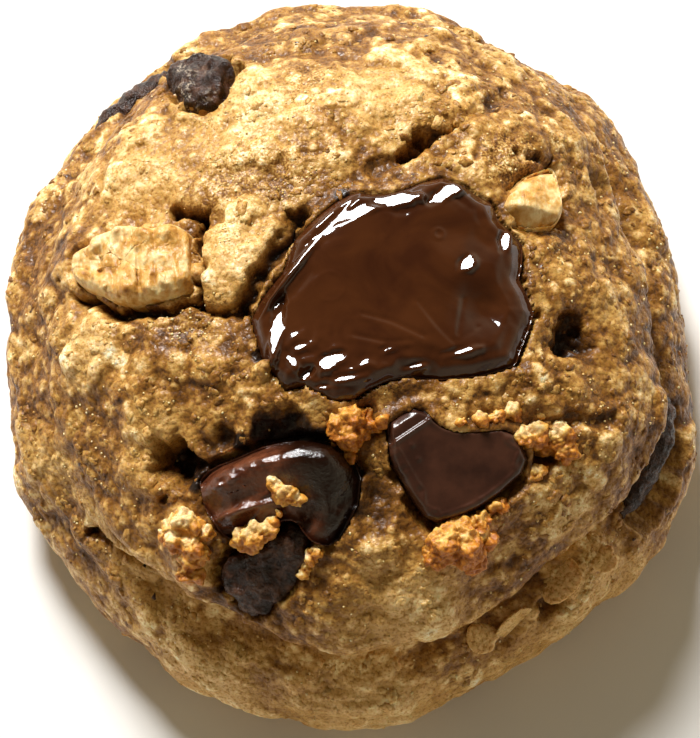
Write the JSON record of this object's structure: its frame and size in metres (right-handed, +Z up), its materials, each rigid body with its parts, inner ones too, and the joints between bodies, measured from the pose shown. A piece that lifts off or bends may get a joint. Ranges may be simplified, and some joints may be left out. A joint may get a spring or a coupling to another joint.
{
  "type": "oatmeal cookie",
  "caption": "Thick domed oatmeal cookie with dark chocolate chunks and chopped nut pieces, one side split by a crevice under the crown, flat underneath.",
  "frame": {"origin": "middle of the flat underside, on the surface the cookie lies on", "axes": "+Z up through the crown; +Y away from a viewer who sees the crevice on the right, along the slightly longer way across the cookie"},
  "size_m": [0.0817, 0.088, 0.0353],
  "materials": {
    "dough": "matte baked dough, rough and grainy",
    "melted_chocolate": "glossy melted dark chocolate",
    "satin_chocolate": "satin solid dark chocolate",
    "nut": "satin toasted nut"
  },
  "bodies": {
    "root": {"cookie_dough": "dough", "chocolate_pool": "melted_chocolate", "chocolate_chunk_right": "satin_chocolate", "chocolate_chunk_left": "melted_chocolate", "chocolate_shard": "satin_chocolate", "chocolate_chunk_rim": "satin_chocolate", "chocolate_chunk_side": "satin_chocolate", "chocolate_chunk_back": "satin_chocolate", "nut_piece_left": "nut", "nut_piece_right": "nut"}
  },
  "joints": []
}
